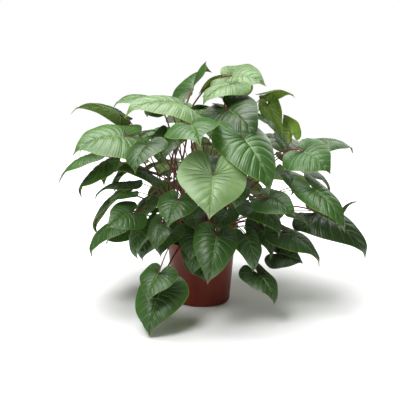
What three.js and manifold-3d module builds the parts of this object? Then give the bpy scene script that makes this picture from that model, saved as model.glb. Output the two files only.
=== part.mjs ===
// A potted homalomena: a round nursery pot of soil, and a full crown of heart-shaped leaves.
// Millimetres, +Z up, origin at the centre of the pot's underside. -Y is the plant's show side.
// Each leaf, its blade and its stalk, is one grown piece. The stalks spring from a low clump of
// rhizomes, fan out over the pot's rim, and carry their blades outwards and down.

import * as THREE from 'three';
import { mergeVertices } from 'three/addons/utils/BufferGeometryUtils.js';
import Module from 'manifold-3d';

const wasm = await Module();
wasm.setup();

// ---- driving dimensions ----
const potHeight = 195;
const potBaseRadius = 88;
const potTopRadius = 103; // outside of the wall, where it meets the rim band
const potWall = 2.2;
const potFloor = 3;
const potCorner = 8; // radius of the rounded edge under the wall
const rimBand = 22; // height of the thicker band round the top
const rimStep = 4.5; // how far the band stands out from the wall
const drainHoles = 6;
const drainRadius = 6;

const soilDrop = 24; // from the rim's top edge down to the soil
const fitGap = 0.3; // clearance between pieces that touch

const crownRadius = 64; // the clump of rhizomes that the stalks grow from
const crownRise = 24;

const canopyReach = 500; // from the pot's axis to the farthest leaf tip
const canopyRise = 560; // from the soil to the highest leaf tip
const bladeThickness = 1;
const stalkRadius = 2.6; // at the blade of a leaf of the usual length
const sheathRadius = 4.6; // at the foot of the same stalk
const leafGap = 0.3; // least air between one leaf and anything else
const rootGap = 0.4; // from the crown's surface to the foot of a stalk
const groundGap = 4; // least air between a hanging leaf and the surface the pot stands on

// ---- shares and counts that belong to the shapes, not to a size ----
const roundSteps = 32;
const stalkShares = [0.94, 0.84, 0.66, 0.42, 0.18, 0]; // where the stalk's rings lie, from the blade down
const neckShare = 0.6; // how stiffly the stalk holds its direction at the blade, against at the crown
const usualLeaf = 130; // length of a blade of the usual width for which stalkRadius holds
const drawnReach = 500; // reach and rise for which the leaf list below is written
const drawnRise = 560;

const soilLevel = potHeight - soilDrop;
const crownSphere = (crownRadius ** 2 + crownRise ** 2) / (2 * crownRise);
const crownBase = fitGap; // measured from the soil, as everything in the plant group is
const crownCentre = new THREE.Vector3(0, 0, crownBase + crownRise - crownSphere);

// Half of a blade's outline in shares of its length, from the tip round the lobe to the notch at
// the stalk. The first number runs along the midrib from the stalk, the second across it.
const halfOutline = [
  [1, 0], [0.78, 0.15], [0.5, 0.4], [0.15, 0.59],
  [-0.22, 0.57], [-0.42, 0.36], [-0.4, 0.17], [-0.12, 0.045],
];
const lobeSteps = 3; // how many steps of the outline, from the notch on, belong to the lobe
const midRing = 0.56; // where the blade's inner ring of points lies, from stalk to margin

// Leaves that give the plant its shape on the show side. Each runs from its seat, where the stalk
// meets the blade, to its tip. Heights are above the soil. face leans the upper side that way.
const leafPlan = [
  { name: 'leaf_front_1', seat: [30, -330, 282], tip: [20, -400, 182], wide: 1.25, lobe: 1.45 },
  { name: 'leaf_front_2', seat: [110, -235, 361], tip: [180, -300, 220],
    wide: 0.76, face: [0.3, -0.7, 0.6] },
  { name: 'leaf_front_3', seat: [75, -165, 440], tip: [152, -235, 372],
    wide: 1.05, face: [-0.1, -0.8, 0.6] },
  { name: 'leaf_front_4', seat: [-27, -260, 400], tip: [-3, -372, 366], wide: 1.05, arch: 0.08 },
  { name: 'leaf_front_5', seat: [41, -290, 106], tip: [16, -345, -14], wide: 0.75, lobe: 0.65 },
  { name: 'leaf_front_6', seat: [126, -230, 91], tip: [147, -268, -3], wide: 0.75, lobe: 0.6 },
  { name: 'leaf_left_1', seat: [-220, -150, 362], tip: [-361, -200, 322],
    wide: 1.05, face: [0, -0.42, 0.9] },
  { name: 'leaf_left_2', seat: [-245, 0, 410], tip: [-390, -20, 422],
    wide: 0.7, lobe: 0.6, face: [0, 0.35, 0.95] },
  { name: 'leaf_left_3', seat: [-145, -30, 454], tip: [-260, -60, 440], face: [0, -0.2, 1] },
  { name: 'leaf_left_4', seat: [-18, -95, 450], tip: [-186, -160, 432],
    wide: 0.85, lobe: 0.45, face: [0, -0.3, 1] },
  { name: 'leaf_left_5', seat: [-335, -40, 289], tip: [-430, -60, 200], wide: 0.8 },
  { name: 'leaf_left_6', seat: [-145, -225, 332], tip: [-170, -290, 268], wide: 1.05, lobe: 0.9 },
  { name: 'leaf_left_7', seat: [-150, -150, 256], tip: [-240, -190, 268], face: [0, -0.3, 1] },
  { name: 'leaf_left_8', seat: [-225, -80, 214], tip: [-315, -120, 174], wide: 0.6 },
  { name: 'leaf_left_9', seat: [-200, -200, 150], tip: [-265, -250, 118], face: [0, -0.8, 0.6] },
  { name: 'leaf_left_10', seat: [-170, -150, 101], tip: [-190, -190, 12], wide: 0.8 },
  { name: 'leaf_left_11', seat: [-66, -270, 201], tip: [-92, -325, 140], wide: 1.05 },
  { name: 'leaf_left_12', seat: [-110, -260, 133], tip: [-124, -305, 68], wide: 0.85 },
  { name: 'leaf_low_1', seat: [-118, -318, 6], tip: [-146, -365, -55], wide: 1.05 },
  { name: 'leaf_low_2', seat: [-115, -285, -55], tip: [-144, -345, -160], wide: 1.0 },
  { name: 'leaf_low_3', seat: [163, -220, -25], tip: [210, -265, -101], wide: 0.8 },
  { name: 'leaf_low_4', seat: [228, -110, 6], tip: [298, -145, -12], face: [0, -0.8, 0.6] },
  { name: 'leaf_low_5', seat: [175, -130, 88], tip: [203, -170, 5], wide: 0.8 },
  { name: 'leaf_low_6', seat: [-82, -190, 80], tip: [-106, -228, 18], wide: 0.85 },
  { name: 'leaf_right_1', seat: [292, -140, 317], tip: [365, -192, 262],
    wide: 1.1, lobe: 0.8, face: [0.1, -0.8, 0.6] },
  { name: 'leaf_right_2', seat: [323, -180, 212], tip: [405, -240, 107],
    wide: 0.55, face: [0.35, -0.8, 0.5] },
  { name: 'leaf_right_3', seat: [345, -60, 118], tip: [500, -105, -6],
    wide: 0.62, lobe: 0.5, face: [0.3, -0.6, 0.75] },
  { name: 'leaf_right_4', seat: [370, 0, 327], tip: [465, 20, 294], wide: 0.9 },
  { name: 'leaf_right_5', seat: [200, 0, 436], tip: [251, 10, 329],
    wide: 0.45, lobe: 0.6, face: [-0.3, 0.8, 0.5] },
  { name: 'leaf_right_6', seat: [190, -205, 193], tip: [261, -245, 156], face: [0, -0.6, 0.8] },
  { name: 'leaf_right_7', seat: [175, -150, 162], tip: [239, -200, 83], wide: 0.85 },
  { name: 'leaf_right_8', seat: [278, 40, 345], tip: [254, 60, 402], wide: 0.95, face: [0.1, 0.8, 0.6] },
  { name: 'leaf_top_1', seat: [-26, 20, 482], tip: [28, 120, 532],
    wide: 1.15, fold: 0.7, face: [-0.3, 0.45, 0.85] },
  { name: 'leaf_top_2', seat: [101, 60, 500], tip: [-10, 90, 466], wide: 0.7, face: [0, 0.75, 0.65] },
  { name: 'leaf_top_3', seat: [82, -120, 505], tip: [0, -180, 452], wide: 0.8, face: [-0.2, -0.4, 0.9] },
  { name: 'leaf_top_4', seat: [90, 0, 522], tip: [188, -45, 502],
    wide: 1.2, lobe: 1.1, face: [0, -0.6, 0.8] },
  { name: 'leaf_top_5', seat: [203, 0, 470], tip: [280, -30, 462], wide: 0.85 },
];

// The rest of the plant is built up in tiers over its far side, from the top down.
const backTiers = [
  { count: 3, from: 50, to: 150, radius: 130, height: 425, length: 120, droop: 12 },
  { count: 5, from: 22, to: 165, radius: 240, height: 360, length: 140, droop: 25 },
  { count: 6, from: 8, to: 178, radius: 300, height: 235, length: 140, droop: 38 },
  { count: 6, from: -18, to: 205, radius: 265, height: 110, length: 125, droop: 52 },
];

// ---- meshes and solids ----
function solidOf(geometry) {
  const bare = geometry.index ? geometry.toNonIndexed() : geometry.clone();
  for (const name of Object.keys(bare.attributes)) {
    if (name !== 'position') bare.deleteAttribute(name);
  }
  const merged = mergeVertices(bare, 1e-4);
  const mesh = new wasm.Mesh({
    numProp: 3,
    vertProperties: new Float32Array(merged.attributes.position.array),
    triVerts: new Uint32Array(merged.index.array),
  });
  return new wasm.Manifold(mesh);
}

function geometryOf(solid) {
  const mesh = solid.getMesh();
  const geometry = new THREE.BufferGeometry();
  geometry.setAttribute('position', new THREE.BufferAttribute(new Float32Array(mesh.vertProperties), 3));
  geometry.setIndex(new THREE.BufferAttribute(new Uint32Array(mesh.triVerts), 1));
  geometry.computeVertexNormals();
  return geometry;
}

// A profile of [radius, height] points turned about +Z.
function turned(profile) {
  const points = profile.map(([radius, height]) => new THREE.Vector2(radius, height));
  const geometry = new THREE.LatheGeometry(points, roundSteps);
  return geometry.rotateX(Math.PI / 2);
}

function namedMesh(name, solid, material) {
  const mesh = new THREE.Mesh(geometryOf(solid), material);
  mesh.name = name;
  return mesh;
}

// ---- pot ----
function wallRadiusAt(height) {
  const share = height / (potHeight - rimBand);
  return potBaseRadius + (potTopRadius - potBaseRadius) * Math.min(share, 1);
}

function potSolid() {
  const corner = [];
  for (const turn of [0, 0.25, 0.5, 0.75, 1]) {
    const angle = (turn * Math.PI) / 2;
    const radius = wallRadiusAt(potCorner) - potCorner + potCorner * Math.sin(angle);
    corner.push([radius, potCorner - potCorner * Math.cos(angle)]);
  }
  const bandFoot = potHeight - rimBand;
  const bandRadius = potTopRadius + rimStep;
  const lip = potWall / 2;
  const profile = [
    [0, 0],
    ...corner,
    [potTopRadius, bandFoot],
    [bandRadius, bandFoot + rimStep / 2],
    [bandRadius + lip, potHeight - lip],
    [bandRadius, potHeight],
    [bandRadius - potWall, potHeight - lip],
    [bandRadius - potWall, bandFoot + rimStep],
    [potTopRadius - potWall, bandFoot],
    [wallRadiusAt(potCorner) - potWall, potCorner],
    [wallRadiusAt(potCorner) - potCorner, potFloor],
    [0, potFloor],
  ];
  let pot = solidOf(turned(profile));
  for (let i = 0; i < drainHoles; i += 1) {
    const angle = (i * 2 * Math.PI) / drainHoles;
    const hole = new THREE.CylinderGeometry(drainRadius, drainRadius, potFloor * 4, 12);
    hole.rotateX(Math.PI / 2);
    hole.translate(Math.cos(angle) * potBaseRadius * 0.68, Math.sin(angle) * potBaseRadius * 0.68, 0);
    pot = pot.subtract(solidOf(hole));
  }
  return pot;
}

// ---- soil ----
function soilSolid() {
  const bandFoot = potHeight - rimBand;
  const profile = [
    [0, potFloor + fitGap],
    [wallRadiusAt(potCorner) - potCorner - fitGap, potFloor + fitGap],
    [wallRadiusAt(potCorner) - potWall - fitGap, potCorner + fitGap],
  ];
  if (soilLevel <= bandFoot) {
    profile.push([wallRadiusAt(soilLevel) - potWall - fitGap, soilLevel]);
  } else {
    profile.push([potTopRadius - potWall - fitGap, bandFoot]);
    profile.push([potTopRadius - potWall - fitGap, soilLevel]);
  }
  profile.push([0, soilLevel]);
  return solidOf(turned(profile));
}

// ---- crown: the clump of rhizomes, a cap of a sphere whose centre the stalks point away from ----
function crownSolid() {
  const edgeAngle = Math.asin(crownRadius / crownSphere);
  const rings = 5;
  const profile = [[0, crownBase]];
  for (let i = rings; i >= 0; i -= 1) {
    const angle = (edgeAngle * i) / rings;
    const height = crownCentre.z + crownSphere * Math.cos(angle);
    profile.push([i === 0 ? 0 : crownSphere * Math.sin(angle), height]);
  }
  return solidOf(turned(profile));
}

// Spots for the stalks on the cap, spread evenly as the seeds of a sunflower are.
function crownSpots(count) {
  const golden = Math.PI * (3 - Math.sqrt(5));
  const spots = [];
  for (let i = 0; i < count; i += 1) {
    const radius = (crownRadius - sheathRadius - 1) * Math.sqrt((i + 0.5) / count);
    spots.push(new THREE.Vector2(radius * Math.cos(i * golden), radius * Math.sin(i * golden)));
  }
  return spots;
}

// ---- leaf ----
function vector(numbers) {
  return new THREE.Vector3(...numbers);
}

// Axes of a blade: along runs from seat to tip, up is its upper side, across completes the three.
function bladeAxes(leaf) {
  const along = leaf.tip.clone().sub(leaf.seat);
  const length = along.length();
  along.normalize();
  const up = leaf.face.clone().addScaledVector(along, -leaf.face.dot(along)).normalize();
  const across = up.clone().cross(along);
  return { along, up, across, length };
}

// Height of the blade over its flat outline, in shares of its length: the midrib is arched, the
// halves rise a little from it and then fall away to the margin.
function bladeHeight(p, q, leaf) {
  const reach = p >= 0 ? p * (1 - p) : p * (1 + 0.9 * p);
  return 4 * leaf.arch * reach + leaf.fold * Math.abs(q) - leaf.droop * q * q;
}

function bladePoint(p, q, leaf, axes) {
  const lobed = p < 0 ? p * leaf.lobe : p;
  return leaf.seat.clone()
    .addScaledVector(axes.along, lobed * axes.length)
    .addScaledVector(axes.across, q * leaf.wide * axes.length)
    .addScaledVector(axes.up, bladeHeight(p, q, leaf) * axes.length);
}

// The blade as a closed sheet: a four-cornered collar at the seat, an inner ring and the outline,
// above and below. The collar is where the stalk runs into the blade: the two lobes grow from its
// side corners, so that the stalk has the notch between them to itself.
function bladeParts(leaf) {
  const axes = bladeAxes(leaf);
  const mirrored = halfOutline.slice(1).map(([p, q]) => [p, -q]);
  const outline = [...halfOutline.slice().reverse(), ...mirrored];
  const radius = stalkRadiusAt(1, leaf);
  const collar = [
    leaf.seat.clone().addScaledVector(axes.up, radius),
    leaf.seat.clone().addScaledVector(axes.across, -radius),
    leaf.seat.clone().addScaledVector(axes.up, -radius),
    leaf.seat.clone().addScaledVector(axes.across, radius),
  ];
  const rings = [];
  for (const share of [midRing, 1]) {
    for (const [p, q] of outline) rings.push(bladePoint(p * share, q * share, leaf, axes));
  }
  const half = bladeThickness / 2;
  const points = [
    ...collar,
    ...rings.map((point) => point.clone().addScaledVector(axes.up, half)),
    ...rings.map((point) => point.clone().addScaledVector(axes.up, -half)),
  ];
  const count = outline.length;
  const last = count - 1;
  const inner = (s) => 4 + s;
  const outer = (s) => 4 + count + s;
  const below = (index) => index + 2 * count;
  const faces = [];
  for (let s = 0; s < last; s += 1) {
    let top = 0;
    let bottom = 2;
    if (s < lobeSteps) top = bottom = 3;
    if (s >= last - lobeSteps) top = bottom = 1;
    faces.push(top, inner(s + 1), inner(s));
    faces.push(bottom, below(inner(s)), below(inner(s + 1)));
    faces.push(inner(s), inner(s + 1), outer(s + 1), inner(s), outer(s + 1), outer(s));
    faces.push(below(outer(s + 1)), below(inner(s + 1)), below(inner(s)));
    faces.push(below(outer(s)), below(outer(s + 1)), below(inner(s)));
  }
  const edge = [inner(0)];
  for (let s = 0; s <= last; s += 1) edge.push(outer(s));
  edge.push(inner(last));
  for (let i = 0; i < edge.length - 1; i += 1) {
    faces.push(edge[i], edge[i + 1], below(edge[i + 1]));
    faces.push(edge[i], below(edge[i + 1]), below(edge[i]));
  }
  const near = inner(lobeSteps);
  const far = inner(last - lobeSteps);
  faces.push(0, near, 3, 3, inner(0), below(inner(0)), 2, 3, below(near));
  faces.push(0, 1, far, 1, below(inner(last)), inner(last), 2, below(far), 1);
  return { points, faces };
}

// A Bezier curve through its first and last of five points.
class StalkPath extends THREE.Curve {
  constructor(corners) {
    super();
    this.corners = corners;
  }

  getPoint(t, target = new THREE.Vector3()) {
    const binomial = [1, 4, 6, 4, 1];
    target.set(0, 0, 0);
    this.corners.forEach((corner, i) => {
      target.addScaledVector(corner, binomial[i] * t ** i * (1 - t) ** (4 - i));
    });
    return target;
  }
}

// A stalk leaves the crown square to it and bows over to the blade, turning into the midrib's
// own direction at the end. It is pushed sideways by bow.
function stalkCurve(leaf) {
  const { along, across } = bladeAxes(leaf);
  const chord = leaf.seat.clone().sub(leaf.root);
  const span = chord.length();
  chord.normalize();
  const start = leaf.rootWay.clone();
  const mirrored = chord.clone().multiplyScalar(2 * start.dot(chord)).sub(start);
  mirrored.addScaledVector(across, -mirrored.dot(across)); // in through the notch, clear of the lobes
  const end = mirrored.add(along).normalize();
  const halfTurn = Math.acos(THREE.MathUtils.clamp(start.dot(chord), -1, 1)) / 2;
  const handle = span / (3 * Math.cos(halfTurn) ** 2);
  const side = new THREE.Vector3().crossVectors(vector([0, 0, 1]), chord).normalize();
  const first = leaf.root.clone().addScaledVector(start, handle);
  const second = leaf.seat.clone().addScaledVector(end, -handle * neckShare);
  const middle = first.clone().add(second).multiplyScalar(0.5).addScaledVector(side, leaf.bow);
  return new StalkPath([
    leaf.root.clone(),
    first.clone().multiplyScalar(3).add(leaf.root).multiplyScalar(0.25),
    middle,
    second.clone().multiplyScalar(3).add(leaf.seat).multiplyScalar(0.25),
    leaf.seat.clone(),
  ]);
}

function stalkRadiusAt(t, leaf) {
  const size = THREE.MathUtils.clamp((leaf.length * leaf.wide) / usualLeaf, 0.5, 1.1);
  return size * (stalkRadius + (sheathRadius - stalkRadius) * (1 - t) ** 4);
}

// Rings of four points round the stalk, from the blade's collar back to the crown, carried along
// without twisting.
function stalkRings(leaf) {
  const curve = stalkCurve(leaf);
  const normal = bladeAxes(leaf).up;
  const rings = [];
  for (const share of stalkShares) {
    const centre = curve.getPointAt(share);
    const tangent = curve.getTangentAt(share);
    normal.addScaledVector(tangent, -normal.dot(tangent)).normalize();
    const side = new THREE.Vector3().crossVectors(tangent, normal);
    const radius = stalkRadiusAt(share, leaf);
    rings.push([
      centre.clone().addScaledVector(normal, radius),
      centre.clone().addScaledVector(side, radius),
      centre.clone().addScaledVector(normal, -radius),
      centre.clone().addScaledVector(side, -radius),
    ]);
  }
  return rings;
}

// Walls of a four-sided tube from the ring that starts at index from to the one at index to, with
// the tube running from the second to the first.
function tubeWalls(from, to) {
  const faces = [];
  for (let j = 0; j < 4; j += 1) {
    const k = (j + 1) % 4;
    faces.push(to + j, to + k, from + k, to + j, from + k, from + j);
  }
  return faces;
}

function closedSolid(points, faces) {
  const geometry = new THREE.BufferGeometry().setFromPoints(points);
  geometry.setIndex(faces);
  return solidOf(geometry);
}

function bladeSolid(leaf) {
  const { points, faces } = bladeParts(leaf);
  return closedSolid(points, [...faces, 0, 3, 2, 0, 2, 1]);
}

// The stalk without its last stretch, where it turns into the blade.
function stalkSolid(leaf) {
  const rings = stalkRings(leaf);
  const points = rings.flat();
  const faces = [0, 1, 2, 0, 2, 3];
  for (let i = 1; i < rings.length; i += 1) faces.push(...tubeWalls(4 * (i - 1), 4 * i));
  const foot = 4 * (rings.length - 1);
  faces.push(foot, foot + 2, foot + 1, foot, foot + 3, foot + 2);
  return closedSolid(points, faces);
}

// Blade and stalk as one skin.
function leafSolid(leaf) {
  const { points, faces } = bladeParts(leaf);
  let from = 0;
  for (const ring of stalkRings(leaf)) {
    const to = points.length;
    points.push(...ring);
    faces.push(...tubeWalls(from, to));
    from = to;
  }
  faces.push(from, from + 2, from + 1, from, from + 3, from + 2);
  return closedSolid(points, faces);
}

// ---- arranging the leaves ----
function fullLeaf(row) {
  const spread = vector([canopyReach / drawnReach, canopyReach / drawnReach, canopyRise / drawnRise]);
  const seat = vector(row.seat).multiply(spread);
  const tip = vector(row.tip).multiply(spread);
  const length = seat.distanceTo(tip);
  const outward = new THREE.Vector3(seat.x, seat.y, 0).normalize();
  const face = row.face ? vector(row.face) : outward.add(vector([0, 0, 1]));
  return { wide: 1, lobe: 1, arch: 0.12, fold: 0.2, droop: 0.7, bow: 0, ...row, seat, tip, length, face };
}

function backRows() {
  const rows = [];
  for (const tier of backTiers) {
    for (let i = 0; i < tier.count; i += 1) {
      const number = rows.length + 1;
      const sway = Math.sin(number * 2.4); // a fixed wobble, so that no two tiers line up
      const share = i / (tier.count - 1);
      const angle = THREE.MathUtils.degToRad(tier.from + (tier.to - tier.from) * share + 6 * sway);
      const yaw = angle + 0.45 * Math.sin(number * 1.7);
      const drop = THREE.MathUtils.degToRad(tier.droop + 12 * sway);
      const radius = tier.radius * (1 + 0.1 * Math.sin(number * 3.1));
      const seat = [radius * Math.cos(angle), radius * Math.sin(angle), tier.height + 35 * sway];
      const length = tier.length * (1 + 0.12 * Math.cos(number * 1.3));
      const tip = [
        seat[0] + length * Math.cos(yaw) * Math.cos(drop),
        seat[1] + length * Math.sin(yaw) * Math.cos(drop),
        seat[2] - length * Math.sin(drop),
      ];
      rows.push({ name: `leaf_back_${number}`, seat, tip, wide: 0.95 });
    }
  }
  return rows;
}

// Gives each leaf the free spot on the crown nearest to the line its stalk would follow, from the
// lowest and widest leaf to the highest, so that the stalks fan out without crossing.
function rootLeaves(leaves) {
  const spots = crownSpots(leaves.length);
  const lean = (leaf) => leaf.seat.clone().sub(crownCentre).angleTo(vector([0, 0, 1]));
  const widest = Math.max(...leaves.map(lean));
  for (const leaf of leaves.slice().sort((a, b) => lean(b) - lean(a))) {
    const azimuth = Math.atan2(leaf.seat.y, leaf.seat.x);
    const radius = (crownRadius * lean(leaf)) / widest;
    const wish = new THREE.Vector2(radius * Math.cos(azimuth), radius * Math.sin(azimuth));
    spots.sort((a, b) => a.distanceTo(wish) - b.distanceTo(wish));
    const spot = spots.shift();
    const height = Math.sqrt(crownSphere ** 2 - spot.lengthSq());
    leaf.rootWay = new THREE.Vector3(spot.x, spot.y, height).normalize();
    leaf.root = crownCentre.clone().addScaledVector(leaf.rootWay, crownSphere + rootGap);
  }
}

// Places a leaf may move to, nearest first: none, then ever larger steps along its own axes.
function nudges(axes) {
  const stepLength = 8;
  const rings = 11;
  const ways = [
    axes.up.clone(),
    axes.up.clone().negate(),
    axes.across.clone(),
    axes.across.clone().negate(),
    axes.up.clone().add(axes.across).normalize(),
    axes.up.clone().sub(axes.across).normalize(),
    axes.along.clone(),
    axes.along.clone().add(axes.up).normalize(),
    axes.along.clone().sub(axes.up).normalize(),
  ];
  const moves = [new THREE.Vector3()];
  for (let ring = 1; ring <= rings; ring += 1) {
    for (const way of ways) moves.push(way.clone().multiplyScalar(ring * stepLength));
  }
  return moves;
}

const bows = [0, 20, -20, 40, -40, 65, -65, 95, -95];

function clearOf(solid, placed) {
  const box = solid.boundingBox();
  return placed.every((other) => {
    for (let axis = 0; axis < 3; axis += 1) {
      if (box.min[axis] > other.box.max[axis] + leafGap) return true;
      if (box.max[axis] < other.box.min[axis] - leafGap) return true;
    }
    return solid.minGap(other.solid, leafGap * 2) >= leafGap;
  });
}

function remember(solid, placed) {
  placed.push({ solid, box: solid.boundingBox() });
}

// Settles a leaf in the first place where blade and stalk both clear all that is there already.
function settle(leaf, placed) {
  const drawn = { seat: leaf.seat.clone(), tip: leaf.tip.clone() };
  for (const move of nudges(bladeAxes(leaf))) {
    leaf.seat.copy(drawn.seat).add(move);
    leaf.tip.copy(drawn.tip).add(move);
    let blade = bladeSolid(leaf);
    const lift = groundGap - soilLevel - blade.boundingBox().min[2];
    if (lift > 0) {
      leaf.seat.z += lift;
      leaf.tip.z += lift;
      blade = bladeSolid(leaf);
    }
    if (!clearOf(blade, placed)) continue;
    for (const bow of bows) {
      leaf.bow = bow;
      const stalk = stalkSolid(leaf);
      if (stalk.minGap(blade, leafGap) < leafGap || !clearOf(stalk, placed)) continue;
      const whole = leafSolid(leaf);
      if (clearOf(whole, placed)) return whole;
    }
  }
  throw new Error(`${leaf.name} finds no clear place`);
}

// ---- materials ----
function plainMaterial(color, roughness) {
  return new THREE.MeshStandardMaterial({ color, roughness, metalness: 0 });
}

const materials = {
  pot: plainMaterial(0x56211a, 0.45),
  soil: plainMaterial(0x2b2019, 0.95),
  crown: plainMaterial(0x5a2a24, 0.7),
  leaf: plainMaterial(0x3f6b35, 0.35),
};

// ---- the whole plant ----
const group = new THREE.Group();
const pot = potSolid();
const soil = soilSolid();
const crown = crownSolid();
group.add(namedMesh('pot', pot, materials.pot));
group.add(namedMesh('soil', soil, materials.soil));

const plant = new THREE.Group();
plant.position.z = soilLevel;
plant.add(namedMesh('crown', crown, materials.crown));
group.add(plant);

const placed = [];
remember(pot.translate([0, 0, -soilLevel]), placed);
remember(crown, placed);

const leaves = [...leafPlan, ...backRows()].map(fullLeaf);
rootLeaves(leaves);
for (const leaf of leaves) {
  const solid = settle(leaf, placed);
  remember(solid, placed);
  plant.add(namedMesh(leaf.name, solid, materials.leaf));
}

export default group;
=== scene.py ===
import math
import bpy
import numpy as np
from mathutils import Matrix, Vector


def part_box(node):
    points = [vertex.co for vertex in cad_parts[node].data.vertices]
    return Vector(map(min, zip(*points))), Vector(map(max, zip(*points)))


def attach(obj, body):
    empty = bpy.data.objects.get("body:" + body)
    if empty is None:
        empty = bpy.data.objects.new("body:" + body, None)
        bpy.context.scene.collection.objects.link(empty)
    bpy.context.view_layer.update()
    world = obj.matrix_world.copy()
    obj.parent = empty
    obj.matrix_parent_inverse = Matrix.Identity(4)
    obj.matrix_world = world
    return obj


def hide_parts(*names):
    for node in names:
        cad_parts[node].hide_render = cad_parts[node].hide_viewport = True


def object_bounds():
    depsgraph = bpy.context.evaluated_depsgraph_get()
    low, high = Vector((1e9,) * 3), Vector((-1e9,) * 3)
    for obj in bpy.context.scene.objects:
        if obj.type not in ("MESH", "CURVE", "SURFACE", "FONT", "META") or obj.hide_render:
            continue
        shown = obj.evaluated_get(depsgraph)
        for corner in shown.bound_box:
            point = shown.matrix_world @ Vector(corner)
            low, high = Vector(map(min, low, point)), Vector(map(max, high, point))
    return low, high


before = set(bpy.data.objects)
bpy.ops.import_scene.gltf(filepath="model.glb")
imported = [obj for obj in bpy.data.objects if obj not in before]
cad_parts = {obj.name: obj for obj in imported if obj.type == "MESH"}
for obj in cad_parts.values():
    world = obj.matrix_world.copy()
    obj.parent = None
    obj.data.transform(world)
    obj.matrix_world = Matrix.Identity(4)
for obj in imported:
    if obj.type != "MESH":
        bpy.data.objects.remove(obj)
cadBox = [list(corner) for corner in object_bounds()]

# A potted homalomena. Metres, +Z up, origin under the pot's centre, show side towards -Y.
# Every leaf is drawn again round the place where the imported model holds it.

mm = 0.001


def unit(vectors):
    # each vector divided by its own length
    vectors = np.asarray(vectors, float)
    return vectors / np.linalg.norm(vectors, axis=-1, keepdims=True)


def smoothStep(low, high, x):
    # 0 below low, 1 above high, and a soft S between them
    t = np.clip((x - low) / (high - low), 0, 1)
    return t * t * (3 - 2 * t)


def smoothThrough(knots, points, where):
    # cubic pieces through the points, each point's slope taken from its neighbours
    slopes = np.gradient(points, knots, axis=0)
    piece = np.clip(np.searchsorted(knots, where, side="right") - 1, 0, len(knots) - 2)
    width = (knots[piece + 1] - knots[piece])[:, None]
    t = (where - knots[piece])[:, None] / width
    start, end = points[piece], points[piece + 1]
    rise, fall = slopes[piece] * width, slopes[piece + 1] * width
    return ((2 * t**3 - 3 * t**2 + 1) * start + (t**3 - 2 * t**2 + t) * rise
            + (3 * t**2 - 2 * t**3) * end + (t**3 - t**2) * fall)


def spreadAlong(points, power=1.0):
    # knots from 0 to 1, spaced as the points are, raised to a power to even out short steps
    steps = np.linalg.norm(np.diff(points, axis=0), axis=1) ** power
    return np.concatenate([[0], np.cumsum(steps)]) / steps.sum()


def noiseField(points, scale, seed):
    # smooth lumps: a sum of sine waves that run in seeded directions, about -1 to 1
    waves = 14
    draw = np.random.default_rng(seed)
    ways = unit(draw.normal(size=(waves, 3))) * draw.uniform(0.6, 1.6, (waves, 1)) / scale
    phases = draw.uniform(0, 2 * math.pi, waves)
    return np.sin(points @ ways.T * 2 * math.pi + phases).sum(axis=-1) / math.sqrt(waves * 2)


def addObject(name, data):
    thing = bpy.data.objects.new(name, data)
    bpy.context.scene.collection.objects.link(thing)
    return thing


def meshPiece(name, points, faces, materials, slots=None, uvs=None, tint=None, sharpAt=50):
    # points and faces put into one mesh object, smooth but for edges sharper than sharpAt degrees
    mesh = bpy.data.meshes.new(name)
    mesh.from_pydata(points.tolist(), [], faces)
    if slots is not None:
        mesh.polygons.foreach_set("material_index", slots)
    if uvs is not None:
        layer = mesh.uv_layers.new(name="UVMap")
        layer.data.foreach_set("uv", np.asarray(uvs, np.float32).ravel())
    if tint is not None:
        attribute = mesh.attributes.new("tint", "FLOAT", "POINT")
        attribute.data.foreach_set("value", np.broadcast_to(tint, len(points)).astype(np.float32))
    mesh.polygons.foreach_set("use_smooth", np.ones(len(mesh.polygons), bool))
    mesh.set_sharp_from_angle(angle=math.radians(sharpAt))
    mesh.validate()
    mesh.update()
    piece = addObject(name, mesh)
    for material in materials:
        mesh.materials.append(material)
    return piece


# ---- camera ----

view = {"place": (-0.004, -2.5, 0.85), "down": 12.06, "angle": 27.0}


def setCamera():
    data = bpy.data.cameras.new("camera")
    data.sensor_width = 36
    data.lens = 18 / math.tan(math.radians(view["angle"]) / 2)
    data.dof.use_dof = False
    camera = addObject("camera", data)
    camera.location = view["place"]
    camera.rotation_euler = (math.radians(90 - view["down"]), 0, 0)
    bpy.context.scene.camera = camera


setCamera()
print("camera set")


# ---- shader helpers ----

def newMaterial(name):
    material = bpy.data.materials.new(name)
    material.use_nodes = True
    tree = material.node_tree
    return material, tree, tree.nodes["Principled BSDF"]


def newGroup(name, takes, gives):
    # an empty node group: takes names its numbers with their start values, None for a vector
    group = bpy.data.node_groups.new(name, "ShaderNodeTree")
    for label, value in takes.items():
        kind = "NodeSocketVector" if value is None else "NodeSocketFloat"
        socket = group.interface.new_socket(label, in_out="INPUT", socket_type=kind)
        if value is not None:
            socket.default_value = value
    for label in gives:
        group.interface.new_socket(label, in_out="OUTPUT", socket_type="NodeSocketFloat")
    inside = group.nodes.new("NodeGroupInput")
    outside = group.nodes.new("NodeGroupOutput")
    return group, inside, outside


def mathNode(tree, operation, first, second=None, third=None, clamp=False):
    # one Math node; numbers are set on it and sockets are linked to it
    node = tree.nodes.new("ShaderNodeMath")
    node.operation = operation
    node.use_clamp = clamp
    for socket, value in zip(node.inputs, (first, second, third)):
        if value is None:
            continue
        if isinstance(value, (int, float)):
            socket.default_value = value
        else:
            tree.links.new(value, socket)
    return node.outputs[0]


def mixColors(tree, share, first, second):
    # one colour Mix node; a colour is four numbers or a socket
    node = tree.nodes.new("ShaderNodeMix")
    node.data_type = "RGBA"
    for socket, value in zip((node.inputs[0], node.inputs[6], node.inputs[7]), (share, first, second)):
        if isinstance(value, (int, float, tuple)):
            socket.default_value = value
        else:
            tree.links.new(value, socket)
    return node.outputs[2]


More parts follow.
